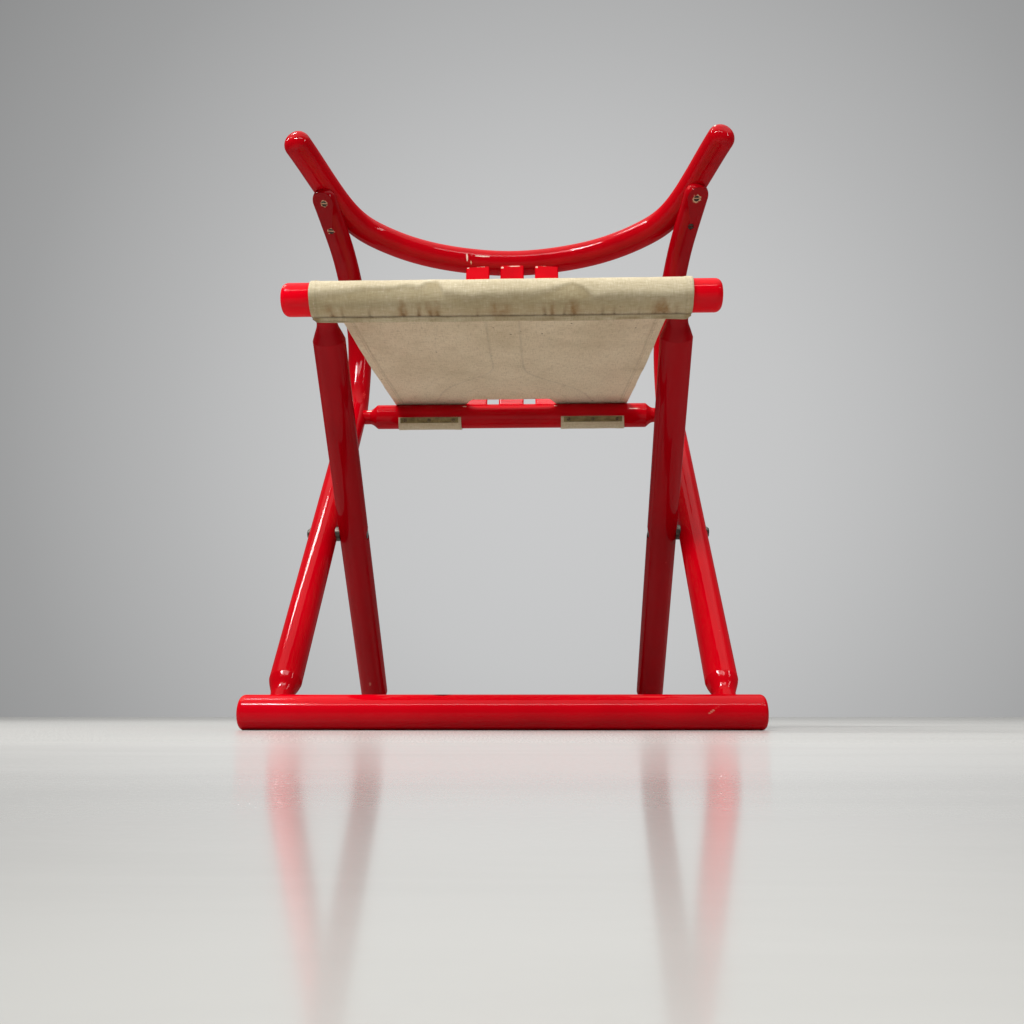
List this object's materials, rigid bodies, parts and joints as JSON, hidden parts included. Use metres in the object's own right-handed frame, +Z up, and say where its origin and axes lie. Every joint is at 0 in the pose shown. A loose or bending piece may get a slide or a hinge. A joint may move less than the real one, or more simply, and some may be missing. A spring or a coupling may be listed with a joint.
{
  "type": "folding armchair",
  "caption": "Folding cross-frame armchair of round lacquered wood with a canvas sling seat, back slats and a bent hoop back that forms the arms.",
  "frame": {"origin": "on the floor, under the middle of the chair's open footprint", "axes": "+Z up, -Y towards the front of the seat, X across the chair"},
  "size_m": [0.6154, 0.4862, 0.8019],
  "materials": {
    "red_lacquer": "gloss lacquer",
    "canvas": "plain woven cotton canvas",
    "steel": "dulled",
    "brass": "tarnished"
  },
  "bodies": {
    "frame_A": {"front_floor_rail": "red_lacquer", "outer_leg_left": "red_lacquer", "outer_leg_right": "red_lacquer", "rear_seat_rail": "red_lacquer", "back_slat_left": "red_lacquer", "back_slat_centre": "red_lacquer", "back_slat_right": "red_lacquer", "back_hoop": "red_lacquer", "hoop_screws": "steel", "clamp_strip_left": "brass", "clamp_strip_right": "brass", "clamp_tacks": "brass", "canvas_lobe_left": "canvas", "canvas_lobe_right": "canvas", "pivot_bolts": "steel", "head_washers": "steel", "spacer_washers": "steel", "pivot_nuts": "steel", "seat_panel": "canvas"},
    "frame_B": {"front_seat_rail": "red_lacquer", "inner_leg_left": "red_lacquer", "inner_leg_right": "red_lacquer", "rear_floor_rail": "red_lacquer", "canvas_sleeve": "canvas"}
  },
  "joints": [
    {"name": "fold_hinge", "type": "hinge", "parent": "frame_A", "child": "frame_B", "pos_m": [0, -0.0086, 0.23585], "axis": [-1, 0, 0], "range_deg": [0, 72], "deforming": ["seat_panel"]}
  ]
}
